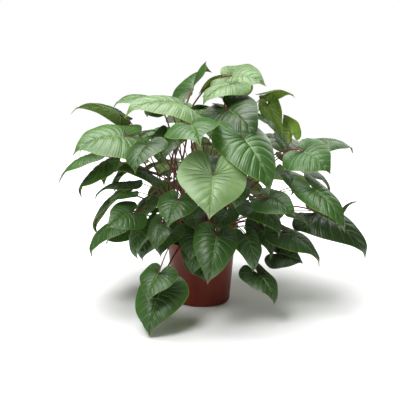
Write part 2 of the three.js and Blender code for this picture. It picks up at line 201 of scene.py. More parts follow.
def useGroup(tree, group, **values):
    # the group placed in a material, each value set on the socket of that name or linked to it
    node = tree.nodes.new("ShaderNodeGroup")
    node.node_tree = group
    for label, value in values.items():
        socket = node.inputs[label]
        if isinstance(value, (int, float, tuple)):
            socket.default_value = value
        else:
            tree.links.new(value, socket)
    return node


def srgb(red, green, blue):
    # a colour as a paint chart gives it, 0 to 255, made linear
    shares = (red / 255, green / 255, blue / 255)
    return (*[((c + 0.055) / 1.055) ** 2.4 if c > 10 / 255 else c / 12.92 for c in shares], 1.0)


# Side veins on a blade: how near a point is to a vein, to the margin and to the midrib.
def veinGroup():
    takes = {"Plan": None, "Veins": 9.0, "Width": 0.07}
    group, inside, outside = newGroup("sideVeins", takes, ("Vein", "Fine", "Margin", "Midrib", "Tip"))
    split = group.nodes.new("ShaderNodeSeparateXYZ")
    group.links.new(inside.outputs["Plan"], split.inputs[0])
    side = mathNode(group, "ABSOLUTE", split.outputs[0])
    phase = mathNode(group, "MULTIPLY", side, inside.outputs["Veins"])
    gap = mathNode(group, "PINGPONG", phase, 0.5)
    near = mathNode(group, "DIVIDE", gap, inside.outputs["Width"])
    vein = mathNode(group, "SUBTRACT", 1.0, near, clamp=True)
    fade = mathNode(group, "SUBTRACT", 1.15, split.outputs[1], clamp=True)
    group.links.new(mathNode(group, "MULTIPLY", vein, fade), outside.inputs["Vein"])
    fine = mathNode(group, "MULTIPLY", side, 2 * math.pi * 52)
    group.links.new(mathNode(group, "SINE", fine), outside.inputs["Fine"])
    edge = mathNode(group, "MULTIPLY_ADD", split.outputs[1], 30.0, -29.0, clamp=True)
    group.links.new(edge, outside.inputs["Margin"])
    rib = mathNode(group, "MULTIPLY_ADD", split.outputs[1], -22.0, 1.0, clamp=True)
    group.links.new(rib, outside.inputs["Midrib"])
    ahead = mathNode(group, "MULTIPLY_ADD", side, -18.0, 1.0, clamp=True)
    outer = mathNode(group, "MULTIPLY_ADD", split.outputs[1], 4.0, -3.0, clamp=True)
    group.links.new(mathNode(group, "MULTIPLY", ahead, outer), outside.inputs["Tip"])
    return group


def spreadNoise(group, noise, inside, outside):
    # the noise stretched about its middle by the group's Contrast
    centred = mathNode(group, "SUBTRACT", noise.outputs["Fac"], 0.5)
    wide = mathNode(group, "MULTIPLY_ADD", centred, inside.outputs["Contrast"], 0.5, clamp=True)
    group.links.new(wide, outside.inputs["Mask"])


# Soft blotches on Object coordinates, from 0 to 1.
def mottleGroup():
    takes = {"Scale": 20.0, "Detail": 3.0, "Contrast": 1.6}
    group, inside, outside = newGroup("mottle", takes, ("Mask",))
    place = group.nodes.new("ShaderNodeTexCoord")
    noise = group.nodes.new("ShaderNodeTexNoise")
    group.links.new(place.outputs["Object"], noise.inputs["Vector"])
    group.links.new(inside.outputs["Scale"], noise.inputs["Scale"])
    group.links.new(inside.outputs["Detail"], noise.inputs["Detail"])
    spreadNoise(group, noise, inside, outside)
    return group


# Streaks that run along a stalk: noise on its own map, stretched lengthwise.
def streakGroup():
    takes = {"Round": 9.0, "Along": 14.0, "Contrast": 2.0}
    group, inside, outside = newGroup("streaks", takes, ("Mask",))
    place = group.nodes.new("ShaderNodeUVMap")
    split = group.nodes.new("ShaderNodeSeparateXYZ")
    join = group.nodes.new("ShaderNodeCombineXYZ")
    noise = group.nodes.new("ShaderNodeTexNoise")
    noise.inputs["Detail"].default_value = 4.0
    group.links.new(place.outputs[0], split.inputs[0])
    group.links.new(mathNode(group, "MULTIPLY", split.outputs[0], inside.outputs["Round"]), join.inputs[0])
    group.links.new(mathNode(group, "MULTIPLY", split.outputs[1], inside.outputs["Along"]), join.inputs[1])
    group.links.new(join.outputs[0], noise.inputs["Vector"])
    spreadNoise(group, noise, inside, outside)
    return group


veinsOf = veinGroup()
mottleOf = mottleGroup()
streaksOf = streakGroup()


def blotches(tree, scale, contrast, detail=3.0):
    return useGroup(tree, mottleOf, Scale=scale, Contrast=contrast, Detail=detail).outputs[0]


def bumpInto(tree, surface, height, depth):
    # a height from 0 to 1 made into relief of that depth in metres
    bump = tree.nodes.new("ShaderNodeBump")
    bump.inputs["Distance"].default_value = depth
    tree.links.new(height, bump.inputs["Height"])
    tree.links.new(bump.outputs[0], surface.inputs["Normal"])


def tintOf(tree):
    node = tree.nodes.new("ShaderNodeAttribute")
    node.attribute_name = "tint"
    return node.outputs["Fac"]


# ---- materials ----

# The upper side's greens are painted light and shade: each leaf's tint runs from a dark painted-shade green
# through a mid green to a pale painted silvery sheen. The dark green is also the underside's blotch colour.
leafColors = {
    "shadeAndBlotchGreen": srgb(18, 44, 12), "halfLitGreen": srgb(50, 96, 28), "paintedLight": srgb(128, 158, 102),
    "blotch": srgb(12, 32, 12), "vein": srgb(138, 172, 92),
    "margin": srgb(120, 148, 52), "tip": srgb(206, 176, 60), "rough": 0.36, "veins": 12.0,
    "underShaded": srgb(84, 116, 34), "underBacklit": srgb(142, 172, 54), "underVein": srgb(148, 172, 92),
}


def laidOver(tree, color, layers):
    # each layer is a mask, how strongly it shows, and its colour, one over another
    for mask, share, tone in layers:
        color = mixColors(tree, mathNode(tree, "MULTIPLY", mask, share), color, tone)
    return color


def leafTop():
    material, tree, surface = newMaterial("leafTop")
    place = tree.nodes.new("ShaderNodeUVMap")
    veins = useGroup(tree, veinsOf, Plan=place.outputs[0], Veins=leafColors["veins"], Width=0.075)
    broad = blotches(tree, 16.0, 2.2)
    small = blotches(tree, 90.0, 1.4)
    tint = tintOf(tree)
    # painted light and shade: a low tint gives a leaf a dark painted-shade green, a high tint a pale painted
    # sheen, as if lit from above
    deep = mathNode(tree, "MULTIPLY", tint, 2.0, clamp=True)
    pale = mathNode(tree, "MULTIPLY_ADD", tint, 2.0, -1.0, clamp=True)
    color = mixColors(tree, deep, leafColors["shadeAndBlotchGreen"], leafColors["halfLitGreen"])
    color = mixColors(tree, pale, color, leafColors["paintedLight"])
    color = laidOver(tree, color, [(broad, 0.45, leafColors["blotch"])])
    fine = mathNode(tree, "MULTIPLY_ADD", veins.outputs["Fine"], 0.05, 0.05)
    color = mixColors(tree, fine, color, leafColors["vein"])
    color = laidOver(tree, color, [
        (veins.outputs["Vein"], 0.6, leafColors["vein"]),
        (veins.outputs["Midrib"], 0.6, leafColors["vein"]),
        (veins.outputs["Margin"], 0.5, leafColors["margin"]),
        (veins.outputs["Tip"], 0.7, leafColors["tip"]),
    ])
    tree.links.new(color, surface.inputs["Base Color"])
    rough = mathNode(tree, "MULTIPLY_ADD", small, 0.14, leafColors["rough"] - 0.06)
    tree.links.new(rough, surface.inputs["Roughness"])
    surface.inputs["Specular IOR Level"].default_value = 0.6
    height = mathNode(tree, "MULTIPLY_ADD", veins.outputs["Fine"], 0.12, 0.5)
    height = mathNode(tree, "MULTIPLY_ADD", small, 0.3, height)
    height = mathNode(tree, "SUBTRACT", height, veins.outputs["Vein"])
    bumpInto(tree, surface, height, 0.0014)
    return material


def leafUnder():
    material, tree, surface = newMaterial("leafUnder")
    place = tree.nodes.new("ShaderNodeUVMap")
    veins = useGroup(tree, veinsOf, Plan=place.outputs[0], Veins=leafColors["veins"], Width=0.08)
    broad = blotches(tree, 18.0, 2.0)
    # painted light: the underside goes from a dim green to a bright lime with the leaf's tint, as if lit
    # through from behind
    color = mixColors(tree, tintOf(tree), leafColors["underShaded"], leafColors["underBacklit"])
    color = laidOver(tree, color, [
        (broad, 0.3, leafColors["shadeAndBlotchGreen"]),
        (veins.outputs["Vein"], 0.6, leafColors["underVein"]),
        (veins.outputs["Midrib"], 0.7, leafColors["underVein"]),
        (veins.outputs["Margin"], 0.7, leafColors["margin"]),
    ])
    tree.links.new(color, surface.inputs["Base Color"])
    tree.links.new(mathNode(tree, "MULTIPLY_ADD", broad, 0.12, 0.48), surface.inputs["Roughness"])
    height = mathNode(tree, "MULTIPLY_ADD", veins.outputs["Fine"], 0.15, veins.outputs["Vein"])
    bumpInto(tree, surface, height, 0.0005)
    return material


stalkColors = {"dark": srgb(58, 26, 24), "red": srgb(172, 44, 42), "green": srgb(88, 84, 48), "rough": 0.34}


def stalkSkin():
    material, tree, surface = newMaterial("stalkSkin")
    streaks = useGroup(tree, streaksOf, Round=9.0, Along=16.0, Contrast=2.2)
    broad = blotches(tree, 12.0, 2.4)
    color = mixColors(tree, tintOf(tree), stalkColors["dark"], stalkColors["red"])
    color = laidOver(tree, color, [
        (streaks.outputs[0], 0.4, stalkColors["dark"]),
        (broad, 0.22, stalkColors["green"]),
    ])
    tree.links.new(color, surface.inputs["Base Color"])
    rough = mathNode(tree, "MULTIPLY_ADD", streaks.outputs[0], 0.16, stalkColors["rough"] - 0.08)
    tree.links.new(rough, surface.inputs["Roughness"])
    bumpInto(tree, surface, streaks.outputs[0], 0.0003)
    return material


# Blotches and grain: each has its scale and contrast, then roughness from and by, and relief in metres.
earthLooks = {
    "rhizomeSkin": {"broad": (45.0, 3.0), "small": (260.0, 2.0), "rough": (0.55, 0.2), "relief": 0.0012,
                    "tones": (srgb(66, 38, 30), srgb(104, 74, 48)), "grain": (0.5, srgb(44, 27, 22))},
    "pottingSoil": {"broad": (60.0, 3.0), "small": (420.0, 3.0), "rough": (0.86, 0.1), "relief": 0.0016,
                    "tones": (srgb(38, 28, 22), srgb(70, 52, 38)), "grain": (0.6, srgb(24, 18, 15))},
    "barkChip": {"broad": (70.0, 3.0), "small": (500.0, 2.0), "rough": (0.75, 0.15), "relief": 0.0008,
                 "tones": (srgb(52, 36, 27), srgb(112, 82, 56))},
}


def earthFinish(name):
    look = earthLooks[name]
    material, tree, surface = newMaterial(name)
    broad = blotches(tree, *look["broad"])
    small = blotches(tree, *look["small"])
    color = mixColors(tree, broad, *look["tones"])
    if "grain" in look:
        color = laidOver(tree, color, [(small, *look["grain"])])
    tree.links.new(color, surface.inputs["Base Color"])
    least, more = look["rough"]
    tree.links.new(mathNode(tree, "MULTIPLY_ADD", small, more, least), surface.inputs["Roughness"])
    bumpInto(tree, surface, small, look["relief"])
    return material


def mouldedPlastic():
    material, tree, surface = newMaterial("mouldedPlastic")
    broad = blotches(tree, 9.0, 1.8)
    dust = blotches(tree, 38.0, 3.2, 6.0)
    grain = blotches(tree, 900.0, 1.6, 2.0)
    color = mixColors(tree, broad, srgb(96, 28, 11), srgb(114, 36, 14))
    color = laidOver(tree, color, [(dust, 0.07, srgb(140, 86, 66))])
    tree.links.new(color, surface.inputs["Base Color"])
    rough = mathNode(tree, "MULTIPLY_ADD", dust, 0.14, 0.4)
    tree.links.new(rough, surface.inputs["Roughness"])
    surface.inputs["Specular IOR Level"].default_value = 0.25
    bumpInto(tree, surface, grain, 0.00012)
    return material


def studioFloor():
    material, tree, surface = newMaterial("studioFloor")
    broad = blotches(tree, 0.8, 0.6)
    color = mixColors(tree, broad, (0.9, 0.9, 0.9, 1), (0.94, 0.94, 0.94, 1))
    tree.links.new(color, surface.inputs["Base Color"])
    surface.inputs["Roughness"].default_value = 0.9
    # the floor glows a little away from the plant, so that it runs out into the white world
    away = tree.nodes.new("ShaderNodeVectorMath")
    away.operation = "LENGTH"
    tree.links.new(tree.nodes.new("ShaderNodeTexCoord").outputs["Object"], away.inputs[0])
    glow = mathNode(tree, "MULTIPLY_ADD", away.outputs["Value"], 0.85, -0.2, clamp=True)
    tree.links.new(mathNode(tree, "MULTIPLY", glow, studio["glow"]), surface.inputs["Emission Strength"])
    surface.inputs["Emission Color"].default_value = (1, 1, 1, 1)
    return material


topFinish = leafTop()
underFinish = leafUnder()
stalkFinish = stalkSkin()
print("materials made")


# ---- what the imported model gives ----

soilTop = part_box("soil")[1].z
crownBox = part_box("crown")
crownRadius = (crownBox[1].x - crownBox[0].x) / 2
crownRise = crownBox[1].z - crownBox[0].z
crownSphere = (crownRadius**2 + crownRise**2) / (2 * crownRise)
crownCentre = np.array([0, 0, crownBox[1].z - crownSphere])


def cornersOf(node):
    # a node's own corners, each once, to a tenth of a millimetre
    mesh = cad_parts[node].data
    corners = np.zeros(len(mesh.vertices) * 3)
    mesh.vertices.foreach_get("co", corners)
    return np.unique(np.round(corners.reshape(-1, 3), 4), axis=0)


# ---- the leaves as they are drawn ----

# Half a blade as packed, from the tip round the lobe to the notch, in shares of its length.
packedOutline = np.array([
    [1, 0], [0.78, 0.15], [0.5, 0.4], [0.15, 0.59],
    [-0.22, 0.57], [-0.42, 0.36], [-0.4, 0.17], [-0.12, 0.045],
])
packedRing = 0.56
packedThickness = 0.001
packedBows = (0, 20, -20, 40, -40, 65, -65, 95, -95)

# Millimetres, heights over the soil. A leaf runs from seat to tip; face leans its upper side. Each leaf's
# given share of painted light runs from a dark painted shade, for leaves that hang in shade, to a pale
# painted sheen, for leaves that face the lamps.
leafPlan = {
    "front_1": {"seat": (30, -330, 282), "tip": (20, -400, 182), "wide": 1.25, "lobe": 1.45,
     "paintedLight": 0.95},
    "front_2": {"seat": (110, -235, 361), "tip": (180, -300, 220), "wide": 0.76,
     "face": (0.3, -0.7, 0.6), "paintedLight": 0.5},
    "front_3": {"seat": (75, -165, 440), "tip": (152, -235, 372), "wide": 1.05,
     "face": (-0.1, -0.8, 0.6), "paintedLight": 0.12},
    "front_4": {"seat": (-27, -260, 400), "tip": (-3, -372, 366), "wide": 1.05, "arch": 0.08,
     "paintedLight": 0.5},
    "front_5": {"seat": (41, -290, 106), "tip": (16, -345, -14), "wide": 0.75, "lobe": 0.65,
     "paintedLight": 0.26},
    "front_6": {"seat": (126, -230, 91), "tip": (147, -268, -3), "wide": 0.75, "lobe": 0.6},
    "left_1": {"seat": (-220, -150, 362), "tip": (-361, -200, 322), "wide": 1.05,
     "face": (0, -0.42, 0.9), "paintedLight": 0.62},
    "left_2": {"seat": (-245, 0, 410), "tip": (-390, -20, 422), "wide": 0.7, "lobe": 0.6,
     "face": (0, 0.35, 0.95), "paintedLight": 0.15},
    "left_3": {"seat": (-145, -30, 454), "tip": (-260, -60, 440), "face": (0, -0.2, 1), "paintedLight": 0.6},
    "left_4": {"seat": (-18, -95, 450), "tip": (-186, -160, 432), "wide": 0.85, "lobe": 0.45,
     "face": (0, -0.3, 1), "paintedLight": 0.82},
    "left_5": {"seat": (-335, -40, 289), "tip": (-430, -60, 200), "wide": 0.8},
    "left_6": {"seat": (-145, -225, 332), "tip": (-170, -290, 268), "wide": 1.05, "lobe": 0.9,
     "paintedLight": 0.15},
    "left_7": {"seat": (-150, -150, 256), "tip": (-240, -190, 268), "face": (0, -0.3, 1)},
    "left_8": {"seat": (-225, -80, 214), "tip": (-315, -120, 174), "wide": 0.6},
    "left_9": {"seat": (-200, -200, 150), "tip": (-265, -250, 118), "face": (0, -0.8, 0.6)},
    "left_10": {"seat": (-170, -150, 101), "tip": (-190, -190, 12), "wide": 0.8},
    "left_11": {"seat": (-66, -270, 201), "tip": (-92, -325, 140), "wide": 1.05, "paintedLight": 0.26},
    "left_12": {"seat": (-110, -260, 133), "tip": (-124, -305, 68), "wide": 0.85},
    "low_1": {"seat": (-118, -318, 6), "tip": (-146, -365, -55), "wide": 1.05, "paintedLight": 0.3},
    "low_2": {"seat": (-115, -285, -55), "tip": (-144, -345, -160), "wide": 1.0, "paintedLight": 0.3},
    "low_3": {"seat": (163, -220, -25), "tip": (210, -265, -101), "wide": 0.8},
    "low_4": {"seat": (228, -110, 6), "tip": (298, -145, -12), "face": (0, -0.8, 0.6)},
    "low_5": {"seat": (175, -130, 88), "tip": (203, -170, 5), "wide": 0.8},
    "low_6": {"seat": (-82, -190, 80), "tip": (-106, -228, 18), "wide": 0.85},
    "right_1": {"seat": (292, -140, 317), "tip": (365, -192, 262), "wide": 1.1, "lobe": 0.8,
     "face": (0.1, -0.8, 0.6), "paintedLight": 0.5},
    "right_2": {"seat": (323, -180, 212), "tip": (405, -240, 107), "wide": 0.55,
     "face": (0.35, -0.8, 0.5), "red": 0.85, "paintedLight": 0.42},
    "right_3": {"seat": (345, -60, 118), "tip": (500, -105, -6), "wide": 0.62, "lobe": 0.5,
     "face": (0.3, -0.6, 0.75), "red": 0.9, "paintedLight": 0.06},
    "right_4": {"seat": (370, 0, 327), "tip": (465, 20, 294), "wide": 0.9},
    "right_5": {"seat": (200, 0, 436), "tip": (251, 10, 329), "wide": 0.45, "lobe": 0.6,
     "face": (-0.3, 0.8, 0.5), "paintedLight": 0.2},
    "right_6": {"seat": (190, -205, 193), "tip": (261, -245, 156), "face": (0, -0.6, 0.8), "red": 0.7},
    "right_7": {"seat": (175, -150, 162), "tip": (239, -200, 83), "wide": 0.85},
    "right_8": {"seat": (278, 40, 345), "tip": (254, 60, 402), "wide": 0.95, "face": (0.1, 0.8, 0.6)},
    "top_1": {"seat": (-26, 20, 482), "tip": (28, 120, 532), "wide": 1.15, "fold": 0.7,
     "face": (-0.3, 0.45, 0.85), "paintedLight": 0.3},
    "top_2": {"seat": (101, 60, 500), "tip": (-10, 90, 466), "wide": 0.7, "face": (0, 0.75, 0.65)},
    "top_3": {"seat": (82, -120, 505), "tip": (0, -180, 452), "wide": 0.8, "face": (-0.2, -0.4, 0.9),
     "paintedLight": 0.8},
    "top_4": {"seat": (90, 0, 522), "tip": (188, -45, 502), "wide": 1.2, "lobe": 1.1,
     "face": (0, -0.6, 0.8), "paintedLight": 0.85},
    "top_5": {"seat": (203, 0, 470), "tip": (280, -30, 462), "wide": 0.85, "paintedLight": 0.6},
}

backTiers = [
    {"count": 3, "from": 50, "to": 150, "radius": 130, "height": 425, "length": 120, "droop": 12},
    {"count": 5, "from": 22, "to": 165, "radius": 240, "height": 360, "length": 140, "droop": 25},
    {"count": 6, "from": 8, "to": 178, "radius": 300, "height": 235, "length": 140, "droop": 38},
    {"count": 6, "from": -18, "to": 205, "radius": 265, "height": 110, "length": 125, "droop": 52},
]


def backRows():
    # tiers of leaves over the far side, each turned, tipped and lengthened by a fixed wobble
    rows = {}
    for tier in backTiers:
        for i in range(tier["count"]):
            number = len(rows) + 1
            sway = math.sin(number * 2.4)
            share = i / (tier["count"] - 1)
            angle = math.radians(tier["from"] + (tier["to"] - tier["from"]) * share + 6 * sway)
            yaw = angle + 0.45 * math.sin(number * 1.7)
            drop = math.radians(tier["droop"] + 12 * sway)
            radius = tier["radius"] * (1 + 0.1 * math.sin(number * 3.1))
            seat = np.array([radius * math.cos(angle), radius * math.sin(angle), tier["height"] + 35 * sway])
            length = tier["length"] * (1 + 0.12 * math.cos(number * 1.3))
            way = np.array([math.cos(yaw) * math.cos(drop), math.sin(yaw) * math.cos(drop), -math.sin(drop)])
            rows[f"back_{number}"] = {"seat": seat, "tip": seat + way * length, "wide": 0.95}
    return rows


def drawnLeaf(row):
    # a row in metres from the pot's underside, with its own three axes
    leaf = {"wide": 1.0, "lobe": 1.0, "arch": 0.12, "fold": 0.2, "droop": 0.7, "bow": 0, "red": None, **row}
    lift = np.array([0, 0, soilTop])
    leaf["seat"] = np.array(row["seat"]) * mm + lift
    leaf["tip"] = np.array(row["tip"]) * mm + lift
    leaf["length"] = np.linalg.norm(leaf["tip"] - leaf["seat"])
    outward = unit(np.array([leaf["seat"][0], leaf["seat"][1], 0]))
    face = np.array(row.get("face", outward + [0, 0, 1]), float)
    leaf["along"] = unit(leaf["tip"] - leaf["seat"])
    leaf["up"] = unit(face - leaf["along"] * (face @ leaf["along"]))
    leaf["across"] = np.cross(leaf["up"], leaf["along"])
    return leaf


def bladeHeight(p, q, leaf):
    # arched along the midrib, halves raised a little from it and falling away to the margin
    reach = np.where(p >= 0, p * (1 - p), p * (1 + 0.9 * p))
    return 4 * leaf["arch"] * reach + leaf["fold"] * np.abs(q) - leaf["droop"] * q * q


def onBlade(p, q, height, leaf):
    # plan shares and a height, all times the blade's length, laid along its three axes
    lobed = np.where(p < 0, p * leaf["lobe"], p)
    shares = np.stack([lobed, q * leaf["wide"], height], axis=-1) * leaf["length"]
    return leaf["seat"] + shares @ np.stack([leaf["along"], leaf["across"], leaf["up"]])


def stalkRadiusAt(t, leaf):
    # 2.6 mm at the blade of a usual leaf, thickening to 4.6 mm at the foot
    size = np.clip(leaf["length"] * leaf["wide"] / 0.13, 0.5, 1.1)
    return size * (0.0026 + 0.002 * (1 - t) ** 4)


def stalkCurve(leaf, bow, steps=160):
    # a five-point Bezier that leaves the crown square to it and turns into the midrib at the end
    chord = leaf["seat"] - leaf["root"]
    span = np.linalg.norm(chord)
    chord = chord / span
    start = leaf["rootWay"]
    mirrored = chord * 2 * (start @ chord) - start
    mirrored = mirrored - leaf["across"] * (mirrored @ leaf["across"])
    end = unit(mirrored + leaf["along"])
    halfTurn = math.acos(np.clip(start @ chord, -1, 1)) / 2
    handle = span / (3 * math.cos(halfTurn) ** 2)
    side = unit(np.cross([0, 0, 1], chord))
    first = leaf["root"] + start * handle
    second = leaf["seat"] - end * handle * 0.6
    middle = (first + second) / 2 + side * bow * mm
    corners = np.array([leaf["root"], (3 * first + leaf["root"]) / 4, middle,
                        (3 * second + leaf["seat"]) / 4, leaf["seat"]])
    t = np.linspace(0, 1, steps)[:, None]
    weights = np.array([1, 4, 6, 4, 1]) * t ** np.arange(5) * (1 - t) ** (4 - np.arange(5))
    path = weights @ corners
    return path, spreadAlong(path)


def settleAsPacked(leaf):
    # moves the leaf to where its packed blade lies, then finds its root and its stalk's bow
    corners = cornersOf(leaf["node"])
    half = np.concatenate([packedOutline, packedOutline[1:] * [1, -1]])
    plan = np.concatenate([half * packedRing, half])
    surface = onBlade(plan[:, 0], plan[:, 1], bladeHeight(plan[:, 0], plan[:, 1], leaf), leaf)
    lift = leaf["up"] * packedThickness / 2
    drawn = np.concatenate([surface + lift, surface - lift])
    moves = corners - drawn[len(half)]
    gaps = np.linalg.norm((drawn + moves[:, None])[:, :, None] - corners, axis=3).min(axis=2).mean(axis=1)
    best = int(np.argmin(gaps))
    leaf["seat"] = leaf["seat"] + moves[best]
    leaf["tip"] = leaf["tip"] + moves[best]
    nearest = np.argsort(np.linalg.norm(corners - crownCentre, axis=1))[:4]
    leaf["root"] = corners[nearest].mean(axis=0)
    leaf["rootWay"] = unit(leaf["root"] - crownCentre)
    misses = []
    for bow in packedBows:
        path, knots = stalkCurve(leaf, bow)
        centre = np.array([np.interp(0.42, knots, path[:, axis]) for axis in range(3)])
        ring = np.argsort(np.linalg.norm(corners - centre, axis=1))[:4]
        misses.append(np.linalg.norm(corners[ring].mean(axis=0) - centre))
    leaf["bow"] = packedBows[int(np.argmin(misses))]
    return gaps[best], min(misses)


# ---- blades ----

bladeLook = {
    "outline": [[1, 0], [0.95, 0.03], [0.87, 0.11], [0.74, 0.235], [0.5, 0.435], [0.2, 0.58],
                [-0.15, 0.59], [-0.36, 0.45], [-0.43, 0.26], [-0.37, 0.12], [-0.1, 0.028]],
    "thickness": 0.0007,
    "veins": 12,         # side veins in each half
    "quilt": 0.016,      # how far the blade swells between two veins, in shares of its length
    "groove": 0.009,     # how deep the midrib lies in the upper side
    "ridge": 0.0016,     # how far the midrib stands out below, in metres
    "ripple": 0.03,      # the margin's waves
    "ragged": 0.03,      # how unevenly the outline swells and draws in
    "rows": 15,
    "columns": 85,       # round each half
    "lobeShare": 0.62,   # the share of a half's columns that spring from the midrib
    "lastVein": 0.95,    # how far along the midrib the last side vein springs
    "gathered": 2.1,     # how closely the side veins are gathered at the stalk
    "arcing": 0.14,      # how far a side vein bows back from a straight line
    "lobeArc": (0.07, 0.05),
}


def bladePlan():
    # r runs from the midrib to the margin and s round the blade, -1 and 1 at the notch, 0 at the tip
    points = np.array(bladeLook["outline"], float)
    u = np.linspace(0, 1, bladeLook["columns"])
    margin = smoothThrough(spreadAlong(points, 0.8), points, u)
    margin[:, 1] = np.maximum(margin[:, 1], 0)
    start = bladeLook["lastVein"] * np.clip(1 - u / bladeLook["lobeShare"], 0, 1) ** bladeLook["gathered"]
    origin = np.stack([start, np.zeros_like(u)], axis=1)
    bend = np.zeros_like(origin)
    alongRib = np.sin(math.pi * np.clip(u / bladeLook["lobeShare"], 0, 1))
    bend[:, 0] = -bladeLook["arcing"] * alongRib * margin[:, 1] / 0.58
    lobes = np.clip((u - bladeLook["lobeShare"]) / (1 - bladeLook["lobeShare"]), 0, 1)
    bend += np.sin(math.pi * lobes)[:, None] * bladeLook["lobeArc"]
    middle = (origin + margin) / 2 + bend
    r = (np.linspace(0, 1, bladeLook["rows"]) ** 1.25)[:, None, None]
    half = (1 - r) ** 2 * origin + 2 * r * (1 - r) * middle + r**2 * margin
    whole = np.concatenate([half[:, ::-1] * [1, -1], half[:, 1:]], axis=1)
    s = np.concatenate([-u[::-1], u[1:]])
    return whole[..., 0], whole[..., 1], r[..., 0], s[None, :]


planP, planQ, planR, planS = bladePlan()
rowCount, columnCount = planP.shape


def bladeFaces():
    # quads over the grid above and below, the midrib shared by both halves, and a wall round the rim
    tip = columnCount // 2
    grid = np.arange(rowCount * columnCount).reshape(rowCount, columnCount)
    own = grid.copy()
    lastOnRib = int(np.argmax(planP[0, tip:] <= 0))
    ribStep = np.minimum(np.abs(np.arange(columnCount) - tip), lastOnRib)
    own[0] = tip + ribStep
    corner = np.stack([grid[:-1, :-1], grid[1:, :-1], grid[1:, 1:], grid[:-1, 1:]], axis=-1).reshape(-1, 4)
    loop = np.concatenate([grid[:, 0], grid[-1, 1:], grid[-2::-1, -1]])
    faces, uvIds, slots = [], [], []
    below = rowCount * columnCount
    for shell, quads in ((0, corner), (1, corner[:, ::-1])):
        for quad in quads.tolist():
            ids = [int(own.flat[g]) + shell * below for g in quad]
            kept = [k for k in range(4) if ids[k] != ids[k - 1]]
            if len(kept) > 2:
                faces.append([ids[k] for k in kept])
                uvIds.extend(quad[k] for k in kept)
                slots.append(shell)
    for a, b in zip(loop[:-1].tolist(), loop[1:].tolist()):
        ownA, ownB = int(own.flat[a]), int(own.flat[b])
        faces.append([ownB, ownA, ownA + below, ownB + below])
        uvIds.extend((b, a, a, b))
        slots.append(1)
    return faces, np.array(uvIds), slots


bladeFaceList, bladeUvIds, bladeSlots = bladeFaces()


def bladePoints(leaf, number):
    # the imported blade's height, plus swells between the side veins, a grooved midrib and a wavy margin
    look = bladeLook
    p, q, r = planP, planQ, np.broadcast_to(planR, planP.shape)
    swell = np.sqrt(np.abs(np.sin(math.pi * look["veins"] * np.abs(planS))))
    swell = swell * np.sin(math.pi * r**0.75) ** 0.8
    groove = np.exp(-((q / 0.022) ** 2)) * (p > -0.05)
    phase = number * 2.399
    waves = 0.55 * np.sin(9 * planS + phase) + 0.45 * np.sin(21 * planS + 1.7 * phase)
    uneven = 0.65 * np.sin(7 * planS + 1.3 * phase) + 0.35 * np.sin(23 * planS + phase)
    ragged = 1 + look["ragged"] * r**2 * uneven
    p, q = p * ragged, q * ragged
    slump = 0.05 * math.sin(number * 1.9) * q * np.abs(q)
    height = (bladeHeight(p, q, leaf) + look["quilt"] * swell - look["groove"] * groove
              + look["ripple"] * r**3 * waves + slump)
    beak = 0.06 * smoothStep(0.86, 1.0, p)
    top = onBlade(p, q, height - beak, leaf)
    ridge = look["ridge"] * np.exp(-((q / 0.018) ** 2)) * np.clip(1 - p, 0, 1) * (p > -0.05)
    under = top - leaf["up"] * (look["thickness"] + ridge[..., None] * leaf["wide"])
    return np.concatenate([top.reshape(-1, 3), under.reshape(-1, 3)])


def tubeFaces(rings, sides):
    # quads between rings of points, then two fans to the two centre points that follow them
    i, j = np.meshgrid(np.arange(rings - 1), np.arange(sides), indexing="ij")
    k = (j + 1) % sides
    quads = np.stack([i * sides + j, i * sides + k, (i + 1) * sides + k, (i + 1) * sides + j], axis=-1)
    j = np.arange(sides)
    k = (j + 1) % sides
    last = (rings - 1) * sides
    foot = np.stack([np.full(sides, rings * sides), k, j], axis=1)
    head = np.stack([np.full(sides, rings * sides + 1), last + j, last + k], axis=1)
    return quads.reshape(-1, 4).tolist() + foot.tolist() + head.tolist()


# ---- stalks ----

stalkLook = {"steps": 46, "sides": 12, "knee": 0.28, "channel": 0.22}


def stalkTube(leaf):
    # rings round the stalk's path, swollen at the blade, with a shallow channel along the upper side
    path, knots = stalkCurve(leaf, leaf["bow"])
    share = np.linspace(0, 1, stalkLook["steps"])
    centre = np.stack([np.interp(share, knots, path[:, axis]) for axis in range(3)], axis=1)
    tangent = unit(np.gradient(centre, axis=0))
    side = unit(np.cross([0, 0, 1], leaf["seat"] - leaf["root"]))
    side = unit(side - tangent * (tangent @ side)[:, None])
    upper = np.cross(side, tangent)
    angle = np.linspace(0, 2 * math.pi, stalkLook["sides"], endpoint=False)
    knee = 1 + stalkLook["knee"] * np.exp(-(((1 - share) / 0.035) ** 2))
    radius = (stalkRadiusAt(share, leaf) * knee)[:, None] * (
        1 - stalkLook["channel"] * np.exp(-(((angle - math.pi / 2) / 0.5) ** 2)))
    rings = (centre[:, None] + side[:, None] * (np.cos(angle) * radius)[..., None]
             + upper[:, None] * (np.sin(angle) * radius)[..., None])
    points = np.concatenate([rings.reshape(-1, 3), centre[:1], centre[-1:]])
    steps, sides = stalkLook["steps"], stalkLook["sides"]
    i, j = np.meshgrid(np.arange(steps - 1), np.arange(sides), indexing="ij")
    length = np.linalg.norm(leaf["seat"] - leaf["root"])
    uv = np.stack([np.stack([j, j + 1, j + 1, j], axis=-1) / sides,
                   np.stack([i, i, i + 1, i + 1], axis=-1) / steps * length], axis=-1).reshape(-1, 2)
    # the two fans of three-cornered faces at the ends need no map
    return points, tubeFaces(steps, sides), np.concatenate([uv, np.zeros((2 * sides * 3, 2))])


